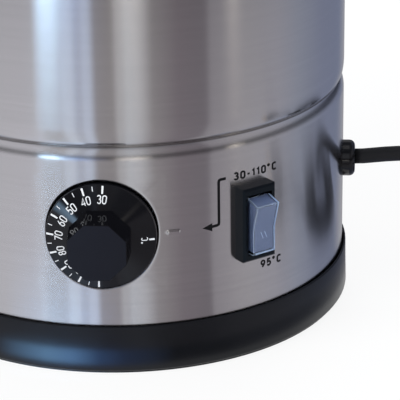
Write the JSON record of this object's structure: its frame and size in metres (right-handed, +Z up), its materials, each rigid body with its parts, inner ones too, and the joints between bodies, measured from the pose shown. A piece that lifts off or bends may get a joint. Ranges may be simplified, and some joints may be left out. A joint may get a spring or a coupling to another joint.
{
  "type": "hot water urn",
  "caption": "Double-walled steel hot water urn with a thermostat dial, rocker switch, mains lead, lever tap with sight gauge, two side handles and a lift-off lid.",
  "frame": {"origin": "on the urn's vertical axis, at the plane of the table it stands on", "axes": "+Z up; the tap faces -Y, the dial faces +X and the mains lead leaves at +Y"},
  "size_m": [0.363, 0.5843, 0.4064],
  "materials": {
    "brushed_steel": "horizontal brushed grain, satin",
    "rim_steel": "fine satin",
    "tank_steel": "bright drawn sheet",
    "base_plastic": "satin moulded black",
    "foot_rubber": "matt",
    "plate_steel": "galvanised sheet",
    "fastener": "bright zinc or stainless",
    "aluminium": "cast",
    "brass": "bright",
    "copper": "drawn tube",
    "ceramic": "glazed",
    "phenolic": "moulded",
    "wire_sheath": "silicone sheath",
    "bezel_black": "fine satin",
    "gloss_black": "gloss, with a matt front face on the dial",
    "cord_rubber": "smooth rubber sheath",
    "tie_strap": "hook and loop strap",
    "tap_black": "satin heat-proof plastic",
    "handle_black": "satin heat-proof plastic",
    "silicone": "translucent white",
    "gauge_glass": "clear tube",
    "rocker_core": "dark, lit from inside",
    "clear_cap": "clear bluish moulding",
    "red_plastic": "gloss"
  },
  "bodies": {
    "root": {"foot_ring": "foot_rubber", "base_ring": "base_plastic", "bottom_plate": "plate_steel", "base_screws": "fastener", "outer_skin": "brushed_steel", "inner_tank": "tank_steel", "rim_ring": "rim_steel", "heat_plate": "aluminium", "heating_element": "aluminium", "element_terminals": "brass", "preset_thermostat": "phenolic", "sensor_bulbs": "copper", "bulb_clips": "plate_steel", "capillaries": "copper", "thermostat_body": "ceramic", "thermostat_screws": "fastener", "cutout_body": "phenolic", "cutout_nut": "fastener", "terminal_block": "ceramic", "earth_stud": "brass", "internal_wires": "wire_sheath", "switch_frame": "bezel_black", "switch_body": "bezel_black", "switch_terminals": "brass", "cord_gland": "gloss_black", "gland_nut": "bezel_black", "mains_cord": "cord_rubber", "cord_coil": "cord_rubber", "cord_tail": "cord_rubber", "coil_tie": "tie_strap", "plug_body": "cord_rubber", "plug_pins": "brass", "tap_body": "tap_black", "tap_washers": "silicone", "tap_nut": "fastener", "tap_bonnet": "tap_black", "lever_pin": "fastener", "tap_spring": "fastener", "gauge_tee": "tap_black", "gauge_seals": "foot_rubber", "gauge_glass": "gauge_glass", "gauge_guard": "rim_steel", "gauge_bracket": "tap_black", "gauge_screw": "fastener", "handle_left": "handle_black", "handle_right": "handle_black", "handle_screws": "fastener", "handle_washers": "fastener"},
    "dial": {"dial_knob": "gloss_black", "dial_spindle": "fastener"},
    "rocker": {"rocker": "rocker_core", "switch_cap": "clear_cap"},
    "tap_lever": {"tap_lever": "tap_black"},
    "tap_stem": {"tap_stem": "fastener", "tap_seat_cup": "silicone"},
    "lid": {"lid_dome": "rim_steel", "lid_knob": "handle_black", "lid_washer": "foot_rubber", "lid_screw": "fastener"},
    "reset_button": {"reset_button": "red_plastic"}
  },
  "joints": [
    {"name": "dial_turn", "type": "hinge", "parent": "root", "child": "dial", "pos_m": [0.132, 0, 0.0849], "axis": [-1, 0, 0], "range_deg": [0, 270]},
    {"name": "rocker_tilt", "type": "hinge", "parent": "root", "child": "rocker", "pos_m": [0.10796, 0.08435, 0.084], "axis": [0.6157, -0.788, 0], "range_deg": [0, 15]},
    {"name": "tap_lever_swing", "type": "hinge", "parent": "root", "child": "tap_lever", "pos_m": [0, -0.187, 0.208], "axis": [1, 0, 0], "range_deg": [0, 30]},
    {"name": "tap_stem_lift", "type": "slide", "parent": "root", "child": "tap_stem", "axis": [0, 0, 1], "range_m": [0, 0.005], "stiffness_N_per_m": 500, "springref_m": -0.002, "deforming": ["tap_spring"]},
    {"name": "lid_lift", "type": "slide", "parent": "root", "child": "lid", "axis": [0, 0, 1], "range_m": [0, 0.06]},
    {"name": "reset_press", "type": "slide", "parent": "root", "child": "reset_button", "axis": [0, 0, 1], "range_m": [0, 0.002], "stiffness_N_per_m": 400, "springref_m": -0.001}
  ],
  "couplings": [
    {"joint": "tap_lever_swing", "follows": "tap_stem_lift", "rad_per_m": 104.7}
  ]
}
